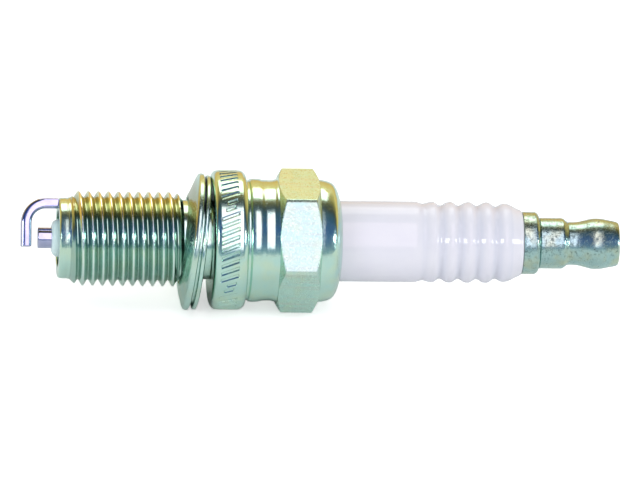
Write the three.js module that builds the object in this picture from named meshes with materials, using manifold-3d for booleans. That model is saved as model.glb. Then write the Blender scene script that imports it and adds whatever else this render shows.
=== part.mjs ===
// A motorcycle spark plug lying on its side: M12 x 1.25 thread, 19 mm reach, 16 mm hexagon, resistor core.
// Millimetres, +Z up. The plug's axis is parallel to +X and points from the firing end to the terminal.
// Places along the axis are measured from the seat, where the flange meets the gasket.
// The plug lies on a flat of its hexagon, with the ground electrode at the upper back.
import * as THREE from "three";
import { mergeVertices } from "three/addons/utils/BufferGeometryUtils.js";
import Module from "manifold-3d";

const wasm = await Module();
wasm.setup();

// ---- Shell: the threaded steel body ----
const threadMajorDiameter = 11.8;
const threadPitch = 1.25;
const threadDepth = 0.77;
const threadCrestWidth = 0.16;
const threadReach = 19;
const threadCrestPlace = -15.23; // where a crest passes the side that the ground electrode is on
const threadLeadSlope = 1; // how fast the thread rises at its start, for each unit of length
const threadEndSlope = 2;
const pilotLength = 1.5;
const pilotStep = 0.8; // from the thread's crests in to the pilot
const pilotTaper = 0.1; // from the pilot's rear in to its front edge
const pilotEdge = 0.2;
const reliefStep = 0.95; // from the thread's crests in to the relief
const flangeDiameter = 17.4;
const flangeThickness = 4.35;
const flangeFrontRound = 0.9;
const flangeRearChamfer = 0.6;
const seatStep = 0.8; // from the flange's rim in to the flat seat
const hexStart = 8.3;
const hexLength = 5.12;
const hexAcrossFlats = 15.85;
const hexCornerTrim = 0.15;
const hexChamfer = 0.62;
const neckStep = 0.225; // from the hexagon's flats in to the neck
const buckleStep = 0.17; // from the neck in to the shallow buckle groove
const grooveStep = 0.25; // from the neck in to the groove beside the flange
const grooveWidth = 0.35;
const crimpStep = 0.275; // from the hexagon's flats in to the rolled collar
const crimpLength = 2.78;

// ---- Shell: the stepped bore ----
const reliefWall = 0.95;
const ledgeStep = 0.8; // from the rear bore in to the ledge
const ledgeFrontLength = 0.5;
const headWall = 1.25; // at the groove beside the flange
const headStepStart = 0.9;
const headStepEnd = 3.1;
const crimpWall = 1.05;

// ---- Insulator ----
const nosePastShell = 0.8;
const noseTipWall = 0.29;
const noseRound = 0.7;
const noseRootStep = 0.15;
const noseRootPlace = -9;
const shoulderFrontPlace = -7.6;
const shoulderSlope = 1.4; // run along the axis for each unit of radius
const bellyTaper = 1.2;
const bellyStep = 1; // from the belly in to the barrel
const insulatorTop = 39.05;
const insulatorTopStep = 0.95; // from the barrel in to the top rim
const ribCount = 5;
const ribSpacing = 2.3;
const ribDepth = 0.45;
const lastRibToTop = 2.1;
const lastRibStep = 0.15;
const waistDepth = 0.24;
const stackBore = 3.9;
const stackBoreStart = -1;

// ---- Centre electrode and the fired stack behind it ----
const electrodePastShell = 2.5;
const electrodeDiameter = 2.6;
const electrodeTipChamfer = 0.1;
const electrodeHeadLength = 1.2;
const copperShare = 0.5; // of the electrode's diameter
const copperTipDepth = 1.9;
const lowerSealLength = 3.8;
const resistorLength = 6.4;
const upperSealLength = 2.5;

// ---- Terminal stud and terminal nut ----
const studTipTaper = 0.6;
const studFlangeStep = 0.2; // from the insulator's top rim in to the stud's flange
const studFlangeThickness = 2.05;
const studFlangeRound = 0.35;
const studThreadDiameter = 4;
const studThreadPitch = 0.7;
const studThreadDepth = 0.38;
const studThreadLength = 8.4;
const nutLength = 10.05;
const nutBodyWall = 1.09;
const nutBodyLength = 3.1;
const nutNeckWall = 0.62;
const nutNeckStart = 3.6;
const nutNeckEnd = 4.8;
const nutBallWall = 1.13;
const nutBallPlace = 7.6;
const nutTipWall = 0.72;
const nutTipPlace = 9.5;
const nutEndWall = 0.55;
const nutBoreChamfer = 0.2;

// ---- Ground electrode ----
const groundThickness = 1.3;
const groundWidth = 2.5;
const groundInset = 0.14; // from the pilot's surface in to the outer face
const groundBendRadius = 3.15;
const sparkGap = 0.8;
const groundReachPastAxis = 1.12;
const groundEdge = 0.16;
const groundAngle = THREE.MathUtils.degToRad(60); // up from +Y, in line with a corner of the hexagon

// ---- Gasket: a folded ring, held captive and loose on the relief behind the thread ----
const gasketInset = 0.1; // from the flange's rim
const gasketThickness = 1.65;
const gasketLipDepth = 0.95;
const gasketCapture = 0.4; // how far the lip reaches below the thread's crests
const gasketFoldNotch = 0.35;
const gasketRearStep = 0.15; // from the front layer in to the rear layer
const gasketRearRound = 0.35;
const gasketTilt = THREE.MathUtils.degToRad(5.6);
const gasketDrop = 0.42;

// ---- Packing inside the shell ----
const packingThickness = 0.6;
const packingLength = 5.5; // from the belly's end to the end of the rolled lip
const lowerWireOffset = 0.15;
const upperWireOffset = 0.55;

// ---- Clearances ----
const fitGap = 0.04;
const bodyClearance = 0.15; // around the insulator inside the shell
const ledgeClearance = 0.2; // around the insulator at the ledge
const electrodeClearance = 0.06;
const electrodeHeadClearance = 0.15;
const stackClearance = 0.05;
const studClearance = 0.1;
const wireClearance = 0.095;
const nutBoreClearance = 0.08;
const gasketClearance = 0.03;
const runOutOverlap = 0.17; // the tilted gasket's lip hangs this far over the foot of the thread

// ---- Smoothness ----
const shellSides = 40;
const insulatorSides = 32;
const coreSides = 20;
const studSides = 20;
const nutSides = 24;
const packingSides = 24;

// ---- Derived radii, from the outside in ----
const crestRadius = threadMajorDiameter / 2;
const rootRadius = crestRadius - threadDepth;
const pilotRadius = crestRadius - pilotStep;
const reliefRadius = crestRadius - reliefStep;
const flangeRadius = flangeDiameter / 2;
const seatRadius = flangeRadius - seatStep;
const hexFlatRadius = hexAcrossFlats / 2;
const hexCornerRadius = hexFlatRadius / Math.cos(Math.PI / 6);
const neckRadius = hexFlatRadius - neckStep;
const buckleRadius = neckRadius - buckleStep;
const grooveRadius = neckRadius - grooveStep;
const crimpRadius = hexFlatRadius - crimpStep;
const headBoreRadius = grooveRadius - headWall;
const bellyRadius = headBoreRadius - bodyClearance;
const barrelRadius = bellyRadius - bellyStep;
const lipEdgeRadius = barrelRadius + 2 * fitGap;
const insulatorTopRadius = barrelRadius - insulatorTopStep;
const rearBoreRadius = reliefRadius - reliefWall;
const midBodyRadius = rearBoreRadius - bodyClearance;
const ledgeRadius = rearBoreRadius - ledgeStep;
const shoulderFrontRadius = ledgeRadius - ledgeClearance;
const electrodeRadius = electrodeDiameter / 2;
const electrodeBoreRadius = electrodeRadius + electrodeClearance;
const noseTipRadius = electrodeBoreRadius + noseTipWall;
const copperRadius = copperShare * electrodeRadius;
const stackBoreRadius = stackBore / 2;
const electrodeHeadRadius = stackBoreRadius - electrodeHeadClearance;
const stackRadius = stackBoreRadius - stackClearance;
const studRadius = stackBoreRadius - studClearance;
const studFlangeRadius = insulatorTopRadius - studFlangeStep;
const studThreadRadius = studThreadDiameter / 2;
const nutBoreRadius = studThreadRadius + nutBoreClearance;
const groundOuterHeight = pilotRadius - groundInset; // from the plug's axis
const mouthRadius = groundOuterHeight - groundThickness - fitGap;
const gasketRadius = flangeRadius - gasketInset;
const gasketRearRadius = gasketRadius - gasketRearStep;
const gasketLipRadius = crestRadius - gasketCapture;
const gasketPivotRadius = gasketRearRadius - gasketRearRound;
const wireRadius = (headBoreRadius - barrelRadius) / 2 - wireClearance;
const wireCentreRadius = (headBoreRadius + barrelRadius) / 2;

// ---- Derived places, from the firing end to the terminal ----
const shellEnd = -threadReach;
const electrodeTip = shellEnd - electrodePastShell;
const groundInnerFace = electrodeTip - sparkGap;
const groundOuterFace = groundInnerFace - groundThickness;
const noseTip = shellEnd - nosePastShell;
const threadStart = shellEnd + pilotLength;
const gasketSwing = (gasketPivotRadius + gasketLipRadius) * Math.sin(gasketTilt);
const reliefLength = gasketThickness + gasketLipDepth + gasketSwing - runOutOverlap;
const hexEnd = hexStart + hexLength;
const crimpEnd = hexEnd + crimpLength;
const bellyEnd = crimpEnd - packingLength;
const barrelStart = bellyEnd + bellyTaper;
const lowerWirePlace = barrelStart + lowerWireOffset;
const upperWirePlace = crimpEnd - crimpWall - upperWireOffset - wireRadius;
const stackStart = stackBoreStart + fitGap + electrodeHeadLength;
const lowerSealStart = stackStart + fitGap;
const resistorStart = lowerSealStart + lowerSealLength + fitGap;
const upperSealStart = resistorStart + resistorLength + fitGap;
const studTip = upperSealStart + upperSealLength + fitGap;
const ribStart = insulatorTop - lastRibToTop - (ribCount - 1) * ribSpacing;
const studFlangeStart = insulatorTop + fitGap;
const studFlangeEnd = studFlangeStart + studFlangeThickness;
const nutStart = studFlangeEnd + fitGap;
const originPlace = (groundOuterFace + nutStart + nutLength) / 2;
const axisHeight = Math.max(flangeRadius, hexFlatRadius);

// ---- Materials ----
const platedSteel = { color: 0xa9b3a6, roughness: 0.28, metalness: 1 };
const gasketSteel = { color: 0xb4bcb2, roughness: 0.3, metalness: 1 };
const nickel = { color: 0xb9bcc4, roughness: 0.22, metalness: 1 };
const copper = { color: 0xb87333, roughness: 0.35, metalness: 1 };
const glazedCeramic = { color: 0xe9e8f2, roughness: 0.12, metalness: 0 };
const terminalSteel = { color: 0xaab0a8, roughness: 0.3, metalness: 1 };
const glassSeal = { color: 0x5a5148, roughness: 0.6, metalness: 0.2 };
const carbonBlack = { color: 0x2b2a2a, roughness: 0.8, metalness: 0 };
const talc = { color: 0xd8d4c8, roughness: 0.95, metalness: 0 };
const packingSteel = { color: 0x8c9092, roughness: 0.4, metalness: 1 };

// A point of a turned profile: its place along the axis and its radius.
function at(place, radius) {
  return new THREE.Vector2(radius, place);
}

// Six times the volume inside a triangle mesh, negative where its faces point inwards.
function signedVolume(positions, triangles) {
  const [a, b, c] = [new THREE.Vector3(), new THREE.Vector3(), new THREE.Vector3()];
  let sum = 0;
  for (let i = 0; i < triangles.length; i += 3) {
    a.fromArray(positions, 3 * triangles[i]);
    b.fromArray(positions, 3 * triangles[i + 1]);
    c.fromArray(positions, 3 * triangles[i + 2]);
    sum += a.dot(b.cross(c));
  }
  return sum;
}

// A closed three.js geometry as a manifold solid with its faces pointing out.
function toSolid(geometry) {
  const bare = geometry.clone();
  bare.deleteAttribute("normal");
  bare.deleteAttribute("uv");
  const merged = mergeVertices(bare, 1e-5);
  const positions = merged.attributes.position.array;
  const triangles = [];
  const index = merged.index.array;
  for (let i = 0; i < index.length; i += 3) {
    const [p, q, r] = [index[i], index[i + 1], index[i + 2]];
    if (p !== q && q !== r && r !== p) {
      triangles.push(p, q, r);
    }
  }
  if (signedVolume(positions, triangles) < 0) {
    triangles.reverse();
  }
  const mesh = new wasm.Mesh({
    numProp: 3,
    vertProperties: new Float32Array(positions),
    triVerts: new Uint32Array(triangles),
  });
  mesh.merge();
  return new wasm.Manifold(mesh);
}

function toGeometry(solid) {
  const mesh = solid.getMesh();
  const geometry = new THREE.BufferGeometry();
  geometry.setAttribute("position", new THREE.BufferAttribute(new Float32Array(mesh.vertProperties), 3));
  geometry.setIndex(new THREE.BufferAttribute(new Uint32Array(mesh.triVerts), 1));
  return geometry;
}

// A closed profile turned about the plug's axis.
function turned(profile, sides) {
  const geometry = new THREE.LatheGeometry([...profile, profile[0]], sides);
  geometry.rotateZ(-Math.PI / 2);
  return toSolid(geometry);
}

// A round bar along the axis, its ends closed on the axis.
function bar(start, end, radius, sides) {
  const profile = [at(start, 0), at(start, radius), at(end, radius), at(end, 0)];
  return turned(profile, sides);
}

// A right-hand screw thread with a V groove, turned about the axis from one place to another.
// A crest passes the +Y side at crestPlace. Its ends are rough, so it is longer than what is kept of it.
function screw({ start, end, crestPlace, pitch, major, depth, crestWidth, sides }) {
  const root = major - depth;
  const shape = [
    { along: -crestWidth / 2, radius: major },
    { along: crestWidth / 2, radius: major },
    { along: pitch / 2, radius: root },
  ];
  const rowsPerTurn = shape.length;
  const firstTurn = Math.floor((start - crestPlace) / pitch) - 1;
  const turns = Math.ceil((end - start) / pitch) + 3;
  const positions = [];
  for (let row = 0; row <= turns * rowsPerTurn; row += 1) {
    const point = shape[row % rowsPerTurn];
    const turn = firstTurn + Math.floor(row / rowsPerTurn);
    for (let side = 0; side < sides; side += 1) {
      const angle = (side / sides) * 2 * Math.PI;
      const place = crestPlace + (turn + side / sides) * pitch + point.along;
      positions.push(place, point.radius * Math.cos(angle), point.radius * Math.sin(angle));
    }
  }
  const rows = turns * rowsPerTurn;
  // One turn round brings a row to the place of the row one pitch further on.
  const vertex = (row, side) => (side === sides ? (row + rowsPerTurn) * sides : row * sides + side);
  const triangles = [];
  for (let row = 0; row + rowsPerTurn < rows; row += 1) {
    for (let side = 0; side < sides; side += 1) {
      const [a, b] = [vertex(row, side), vertex(row, side + 1)];
      const [c, d] = [vertex(row + 1, side), vertex(row + 1, side + 1)];
      triangles.push(a, b, d, a, d, c);
    }
  }
  const lastRow = rows - rowsPerTurn;
  const firstPlace = crestPlace + firstTurn * pitch;
  const capPlaces = [firstPlace + pitch / 2, firstPlace + (turns - 1) * pitch];
  [0, lastRow].forEach((row, which) => {
    const rim = [];
    for (let side = 0; side < sides; side += 1) {
      rim.push(vertex(row, side));
    }
    for (let back = rowsPerTurn; back > 0; back -= 1) {
      rim.push(vertex(row + back, 0));
    }
    const centre = positions.length / 3;
    positions.push(capPlaces[which], 0, 0);
    rim.forEach((corner, i) => {
      const next = rim[(i + 1) % rim.length];
      triangles.push(...(which === 0 ? [centre, next, corner] : [centre, corner, next]));
    });
  });
  const geometry = new THREE.BufferGeometry();
  geometry.setAttribute("position", new THREE.BufferAttribute(new Float32Array(positions), 3));
  geometry.setIndex(triangles);
  return toSolid(geometry);
}

// The place on the insulator's seating cone at a given radius.
function shoulderPlace(radius) {
  return shoulderFrontPlace + (radius - shoulderFrontRadius) * shoulderSlope;
}

// The hexagon, with its corners turned down and its ends chamfered.
function hexagon() {
  const outline = new THREE.Shape();
  for (let i = 0; i < 6; i += 1) {
    const angle = (i / 6) * 2 * Math.PI + Math.PI / 2;
    outline.lineTo(hexCornerRadius * Math.cos(angle), hexCornerRadius * Math.sin(angle));
  }
  outline.curves.shift();
  outline.closePath();
  const prism = new THREE.ExtrudeGeometry(outline, { depth: hexLength, bevelEnabled: false });
  // The prism's length turns from +Z to +X, and its corners stay on the Y axis.
  prism.rotateY(Math.PI / 2);
  prism.translate(hexStart, 0, 0);
  const turnedRadius = hexCornerRadius - hexCornerTrim;
  const envelope = turned(
    [
      at(hexStart, 0),
      at(hexStart, hexFlatRadius),
      at(hexStart + hexChamfer, turnedRadius),
      at(hexEnd - hexChamfer, turnedRadius),
      at(hexEnd, hexFlatRadius),
      at(hexEnd, 0),
    ],
    shellSides,
  );
  return toSolid(prism).intersect(envelope);
}

// The lip that is rolled over the insulator: its outside, from the hexagon to the lip's edge.
function crimpOutside() {
  const start = new THREE.Vector2(hexEnd + 1, crimpRadius - 0.23);
  const corner = new THREE.Vector2(crimpEnd - 0.8, crimpRadius - 0.4);
  const edge = new THREE.Vector2(crimpEnd, lipEdgeRadius);
  return new THREE.QuadraticBezierCurve(start, corner, edge).getPoints(6).map((p) => at(p.x, p.y));
}

// The shell's outside without its thread and its hexagon, as a solid bar.
function shellBar() {
  const flangeCorner = new THREE.QuadraticBezierCurve(
    new THREE.Vector2(0, seatRadius),
    new THREE.Vector2(flangeFrontRound * 0.25, flangeRadius),
    new THREE.Vector2(flangeFrontRound, flangeRadius),
  );
  return turned(
    [
      at(shellEnd, 0),
      at(shellEnd, pilotRadius - pilotTaper - pilotEdge),
      at(shellEnd + pilotEdge, pilotRadius - pilotTaper),
      at(threadStart, pilotRadius),
      at(-reliefLength, pilotRadius),
      at(-reliefLength, reliefRadius),
      at(0, reliefRadius),
      ...flangeCorner.getPoints(4).map((p) => at(p.x, p.y)),
      at(flangeThickness - flangeRearChamfer, flangeRadius),
      at(flangeThickness, flangeRadius - flangeRearChamfer),
      at(flangeThickness, grooveRadius),
      at(flangeThickness + grooveWidth, grooveRadius),
      at(flangeThickness + 2 * grooveWidth, neckRadius),
      at(hexStart - 2.2, neckRadius),
      at(hexStart - 1.4, buckleRadius),
      at(hexStart - 0.4, buckleRadius),
      at(hexStart, neckRadius),
      at(hexEnd, crimpRadius),
      ...crimpOutside(),
      at(crimpEnd, 0),
    ],
    shellSides,
  );
}

// The thread that is kept: full depth, with a chamfered start and run-out.
function shellThread() {
  const thread = screw({
    start: threadStart,
    end: -reliefLength,
    crestPlace: threadCrestPlace - (threadPitch * groundAngle) / (2 * Math.PI),
    pitch: threadPitch,
    major: crestRadius,
    depth: threadDepth,
    crestWidth: threadCrestWidth,
    sides: shellSides,
  });
  const low = rootRadius - 0.25;
  const high = crestRadius + 0.1;
  const chamfer = high - low;
  const kept = turned(
    [
      at(threadStart, 0),
      at(threadStart, low),
      at(threadStart + chamfer / threadLeadSlope, high),
      at(-reliefLength - chamfer / threadEndSlope, high),
      at(-reliefLength, low),
      at(-reliefLength, 0),
    ],
    shellSides,
  );
  return thread.intersect(kept);
}

// Everything inside the shell: mouth, ledge, rear bore, head bore and the hollow under the rolled lip.
function shellBore() {
  const seatOffset = -packingThickness - 2 * fitGap;
  const ledgeFront = shoulderPlace(ledgeRadius) + seatOffset - ledgeFrontLength;
  const underLip = new THREE.QuadraticBezierCurve(
    new THREE.Vector2(crimpEnd - crimpWall - 0.75, headBoreRadius),
    new THREE.Vector2(crimpEnd - crimpWall, headBoreRadius),
    new THREE.Vector2(crimpEnd - crimpWall, lipEdgeRadius),
  );
  return turned(
    [
      at(shellEnd - 1, 0),
      at(shellEnd - 1, mouthRadius),
      at(ledgeFront - (mouthRadius - ledgeRadius), mouthRadius),
      at(ledgeFront, ledgeRadius),
      at(shoulderPlace(ledgeRadius) + seatOffset, ledgeRadius),
      at(shoulderPlace(rearBoreRadius) + seatOffset, rearBoreRadius),
      at(headStepStart, rearBoreRadius),
      at(headStepEnd, headBoreRadius),
      ...underLip.getPoints(4).map((p) => at(p.x, p.y)),
      at(crimpEnd + 1, lipEdgeRadius),
      at(crimpEnd + 1, 0),
    ],
    shellSides,
  );
}

function shell() {
  return shellBar().add(shellThread()).add(hexagon()).subtract(shellBore());
}

// The wavy outside of the ribs, from the first crest to the last.
function ribProfile() {
  const points = [];
  for (let i = 0; i < ribCount; i += 1) {
    const place = ribStart + i * ribSpacing;
    const top = barrelRadius - (i === ribCount - 1 ? lastRibStep : 0);
    const groove = barrelRadius - ribDepth - (i === ribCount - 2 ? lastRibStep : 0);
    points.push(at(place - 0.2 * ribSpacing, top - 0.1));
    points.push(at(place, top));
    points.push(at(place + 0.2 * ribSpacing, top - 0.1));
    if (i < ribCount - 1) {
      points.push(at(place + 0.42 * ribSpacing, groove));
      points.push(at(place + 0.58 * ribSpacing, groove));
    }
  }
  return points;
}

// The glazed insulator, with its stepped bore open at both ends.
function insulator() {
  const profile = [
    at(noseTip, electrodeBoreRadius),
    at(noseTip, noseTipRadius),
    at(noseTip + 0.3 * noseRound, noseTipRadius + 0.7 * noseRound),
    at(noseTip + noseRound, noseTipRadius + noseRound),
    at(noseRootPlace, shoulderFrontRadius - noseRootStep),
    at(shoulderFrontPlace, shoulderFrontRadius),
    at(shoulderPlace(midBodyRadius), midBodyRadius),
    at(headStepStart + 0.2, midBodyRadius),
    at(headStepEnd + 0.2, bellyRadius),
    at(bellyEnd, bellyRadius),
    at(barrelStart, barrelRadius),
    at(ribStart - 2.2, barrelRadius),
    at(ribStart - 1.2, barrelRadius - waistDepth),
    ...ribProfile(),
    at(insulatorTop - 0.2, insulatorTopRadius),
    at(insulatorTop, insulatorTopRadius - 0.2),
    at(insulatorTop, stackBoreRadius),
    at(stackBoreStart, stackBoreRadius),
    at(stackBoreStart, electrodeBoreRadius),
  ];
  return turned(profile, insulatorSides);
}

// The nickel sheath of the centre electrode: a long cup, open at its head, for the copper core.
function electrodeSheath() {
  const copperHole = copperRadius + fitGap;
  const headStart = stackBoreStart + fitGap;
  const copperTip = electrodeTip + copperTipDepth - fitGap;
  return turned(
    [
      at(electrodeTip, 0),
      at(electrodeTip, electrodeRadius - electrodeTipChamfer),
      at(electrodeTip + electrodeTipChamfer, electrodeRadius),
      at(headStart, electrodeRadius),
      at(headStart, electrodeHeadRadius),
      at(stackStart, electrodeHeadRadius),
      at(stackStart, copperHole),
      at(copperTip, copperHole),
      at(copperTip, 0),
    ],
    coreSides,
  );
}

// The copper core that fills the sheath from near its tip to its head.
function copperCore() {
  return bar(electrodeTip + copperTipDepth, stackStart, copperRadius, coreSides);
}

// One length of the fired stack in the insulator's bore.
function stackBar(start, length) {
  return bar(start, start + length, stackRadius, coreSides);
}

// The steel stud: a rod fixed in the insulator, a flange on its top and an M4 thread above the flange.
function terminalStud() {
  const core = studThreadRadius - studThreadDepth;
  const threadEnd = studFlangeEnd + studThreadLength;
  const body = turned(
    [
      at(studTip, 0),
      at(studTip, studRadius - studTipTaper / 2),
      at(studTip + studTipTaper, studRadius),
      at(studFlangeStart, studRadius),
      at(studFlangeStart, studFlangeRadius),
      at(studFlangeEnd - studFlangeRound, studFlangeRadius),
      at(studFlangeEnd, studFlangeRadius - studFlangeRound),
      at(studFlangeEnd, core),
      at(threadEnd, core),
      at(threadEnd, 0),
    ],
    studSides,
  );
  const thread = screw({
    start: studFlangeEnd,
    end: threadEnd,
    crestPlace: studFlangeEnd,
    pitch: studThreadPitch,
    major: studThreadRadius,
    depth: studThreadDepth - 0.03,
    crestWidth: 0.1,
    sides: studSides,
  });
  const low = core - 0.1;
  const kept = turned(
    [
      at(studFlangeEnd + 0.3, 0),
      at(studFlangeEnd + 0.3, low),
      at(studFlangeEnd + 0.8, studThreadRadius + 0.1),
      at(threadEnd - 0.5, studThreadRadius + 0.1),
      at(threadEnd, low),
      at(threadEnd, 0),
    ],
    studSides,
  );
  return body.add(thread.intersect(kept));
}

// The screw-on terminal: a thimble with a neck and a ball for the cap's spring, and a bore right through.
function terminalNut() {
  const body = nutBoreRadius + nutBodyWall;
  const neck = nutBoreRadius + nutNeckWall;
  const ball = nutBoreRadius + nutBallWall;
  const tip = nutBoreRadius + nutTipWall;
  const end = nutBoreRadius + nutEndWall;
  return turned(
    [
      at(nutStart, nutBoreRadius + nutBoreChamfer),
      at(nutStart, body - 0.15),
      at(nutStart + 0.15, body),
      at(nutStart + nutBodyLength, body),
      at(nutStart + nutNeckStart, neck),
      at(nutStart + nutNeckEnd, neck),
      at(nutStart + 0.5 * (nutNeckEnd + nutBallPlace), 0.4 * neck + 0.6 * ball),
      at(nutStart + nutBallPlace - 0.5, ball),
      at(nutStart + nutBallPlace + 0.3, ball),
      at(nutStart + nutTipPlace, tip),
      at(nutStart + nutLength, end),
      at(nutStart + nutLength, nutBoreRadius + nutBoreChamfer),
      at(nutStart + nutLength - nutBoreChamfer, nutBoreRadius),
      at(nutStart + nutBoreChamfer, nutBoreRadius),
    ],
    nutSides,
  );
}

// The ground electrode: a flat bar welded to the shell's end and bent over the centre electrode.
function groundElectrode() {
  const bendPlace = groundOuterFace + groundBendRadius;
  const bendHeight = groundOuterHeight - groundBendRadius;
  const innerRadius = groundBendRadius - groundThickness;
  const side = new THREE.Shape();
  side.moveTo(shellEnd, groundOuterHeight);
  side.lineTo(bendPlace, groundOuterHeight);
  side.absarc(bendPlace, bendHeight, groundBendRadius, Math.PI / 2, Math.PI, false);
  side.lineTo(groundOuterFace, -groundReachPastAxis);
  side.lineTo(groundInnerFace, -groundReachPastAxis);
  side.lineTo(groundInnerFace, bendHeight);
  side.absarc(bendPlace, bendHeight, innerRadius, Math.PI, Math.PI / 2, true);
  side.lineTo(shellEnd, groundOuterHeight - groundThickness);
  const geometry = new THREE.ExtrudeGeometry(side, {
    depth: groundWidth - 2 * groundEdge,
    bevelEnabled: true,
    bevelThickness: groundEdge,
    bevelSize: groundEdge,
    bevelOffset: -groundEdge,
    bevelSegments: 1,
    curveSegments: 10,
  });
  geometry.translate(0, 0, groundEdge - groundWidth / 2);
  return toSolid(geometry);
}

// The gasket about its own centre, its rear face at zero and its lip reaching towards the thread.
function gasket() {
  const front = gasketRadius;
  const rear = gasketRearRadius;
  const lip = gasketLipRadius;
  const layer = gasketThickness / 2;
  const lipFront = -gasketThickness - gasketLipDepth;
  return turned(
    [
      at(0, lip + 1),
      at(0, gasketPivotRadius),
      at(-0.15, rear),
      at(-layer + 0.2, rear),
      at(-layer, rear - gasketFoldNotch),
      at(-layer - 0.15, front),
      at(-gasketThickness + 0.2, front),
      at(-gasketThickness, front - 0.3),
      at(lipFront + 0.15, lip + 0.55),
      at(lipFront, lip + 0.2),
      at(lipFront + 0.15, lip),
      at(lipFront + 0.4, lip + 0.1),
      at(-layer, lip + 0.75),
      at(-0.2, lip + 0.75),
    ],
    shellSides,
  );
}

// The steel packing between the shell's inner ledge and the insulator's seating cone.
function seatPacking() {
  const inner = ledgeRadius + fitGap;
  const outer = midBodyRadius;
  const rear = -fitGap;
  const front = rear - packingThickness;
  return turned(
    [
      at(shoulderPlace(inner) + front, inner),
      at(shoulderPlace(outer) + front, outer),
      at(shoulderPlace(outer) + rear, outer),
      at(shoulderPlace(inner) + rear, inner),
    ],
    insulatorSides,
  );
}

// A ring of round wire, with a six-sided section, that holds the talc at one end.
function packingRing(place) {
  const profile = [];
  for (let i = 0; i < 6; i += 1) {
    const angle = (i + 0.5) * (Math.PI / 3);
    const along = place + wireRadius * Math.cos(angle);
    profile.push(at(along, wireCentreRadius + wireRadius * Math.sin(angle)));
  }
  return turned(profile, packingSides);
}

// The pressed talc between the two wire rings.
function talcSeal() {
  const inner = barrelRadius + wireClearance;
  const outer = headBoreRadius - wireClearance;
  const front = lowerWirePlace + wireRadius + fitGap;
  const rear = upperWirePlace - wireRadius - fitGap;
  return turned(
    [
      at(front, inner),
      at(front, outer),
      at(rear, outer),
      at(rear, inner),
    ],
    packingSides,
  );
}

function named(name, solid, look) {
  const mesh = new THREE.Mesh(toGeometry(solid), new THREE.MeshStandardMaterial(look));
  mesh.name = name;
  return mesh;
}

// The gasket leans on the seat at one side of its rim and has swung towards the thread at the other.
function looseGasket() {
  const mesh = named("gasket", gasket(), gasketSteel);
  mesh.position.set(0, -gasketPivotRadius, 0);
  const hinge = new THREE.Group();
  hinge.add(mesh);
  hinge.position.set(-gasketClearance, gasketPivotRadius - gasketDrop, 0);
  hinge.rotation.z = -gasketTilt;
  return hinge;
}

// What is drawn with its upper side towards +Y is turned to the ground electrode's side of the plug.
function turnedUp(piece) {
  const group = new THREE.Group();
  group.add(piece);
  group.rotation.x = groundAngle;
  return group;
}

const plug = new THREE.Group();
plug.add(named("shell", shell(), platedSteel));
plug.add(turnedUp(looseGasket()));
plug.add(turnedUp(named("ground_electrode", groundElectrode(), nickel)));
plug.add(named("insulator", insulator(), glazedCeramic));
plug.add(named("center_electrode_sheath", electrodeSheath(), nickel));
plug.add(named("center_electrode_core", copperCore(), copper));
plug.add(named("lower_glass_seal", stackBar(lowerSealStart, lowerSealLength), glassSeal));
plug.add(named("resistor", stackBar(resistorStart, resistorLength), carbonBlack));
plug.add(named("upper_glass_seal", stackBar(upperSealStart, upperSealLength), glassSeal));
plug.add(named("terminal_stud", terminalStud(), terminalSteel));
plug.add(named("terminal_nut", terminalNut(), terminalSteel));
plug.add(named("seat_packing", seatPacking(), packingSteel));
plug.add(named("lower_packing_ring", packingRing(lowerWirePlace), packingSteel));
plug.add(named("talc_seal", talcSeal(), talc));
plug.add(named("upper_packing_ring", packingRing(upperWirePlace), packingSteel));

// The origin lies under the middle of the plug, on the level of its lowest point.
plug.position.set(-originPlace, 0, axisHeight);

const scene = new THREE.Group();
scene.add(plug);
export default scene;
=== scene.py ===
import math
import random

import bmesh
import bpy
import numpy as np
from mathutils import Matrix, Vector


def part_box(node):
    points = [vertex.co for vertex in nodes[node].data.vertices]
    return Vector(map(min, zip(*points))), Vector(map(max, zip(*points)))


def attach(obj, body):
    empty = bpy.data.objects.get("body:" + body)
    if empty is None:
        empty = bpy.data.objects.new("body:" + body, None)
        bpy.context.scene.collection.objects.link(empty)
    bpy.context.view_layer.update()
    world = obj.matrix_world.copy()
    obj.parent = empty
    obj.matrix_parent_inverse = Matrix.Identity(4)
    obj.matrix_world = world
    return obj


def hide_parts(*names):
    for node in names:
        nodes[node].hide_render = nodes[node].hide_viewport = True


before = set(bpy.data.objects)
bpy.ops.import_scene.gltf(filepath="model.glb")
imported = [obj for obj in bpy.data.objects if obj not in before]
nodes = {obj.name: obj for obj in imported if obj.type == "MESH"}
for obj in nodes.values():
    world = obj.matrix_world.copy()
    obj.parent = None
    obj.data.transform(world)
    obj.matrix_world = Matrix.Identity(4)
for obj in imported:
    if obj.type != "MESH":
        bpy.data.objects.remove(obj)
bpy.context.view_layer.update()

MM = 0.001
TURN = 2 * math.pi

# ---- Sizes shared with the CAD model ----
THREAD_REACH = 19
THREAD_PITCH = 1.25
CREST_RADIUS = 5.9
THREAD_DEPTH = 0.77
CREST_PLACE = -15.23  # where a crest passes the ground electrode's side
PILOT_RADIUS = 5.1
PILOT_TAPER = 0.1
PILOT_LENGTH = 1.5
RELIEF_RADIUS = 4.95
FLANGE_RADIUS = 8.7
FLANGE_END = 4.35
SEAT_RADIUS = 7.9
FLAT_RADIUS = 7.925
CORNER_RADIUS = 9.0
HEX_START = 8.3
HEX_END = 13.42
HEX_CHAMFER = 0.62
NECK_RADIUS = 7.7
COLLAR_RADIUS = 7.65
COLLAR_END = 16.2
COLLAR_EDGE_RADIUS = 5.13
BARREL_RADIUS = 5.05
INSULATOR_TOP = 39.05
RIB_START = 27.75
RIB_SPACING = 2.3
ELECTRODE_RADIUS = 1.3
ELECTRODE_TIP = -21.5
STUD_FLANGE_START = 39.09
NUT_START = 41.18
GROUND_ANGLE = math.radians(60)  # up from +Y
GASKET_TILT = math.radians(5.6)
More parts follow.
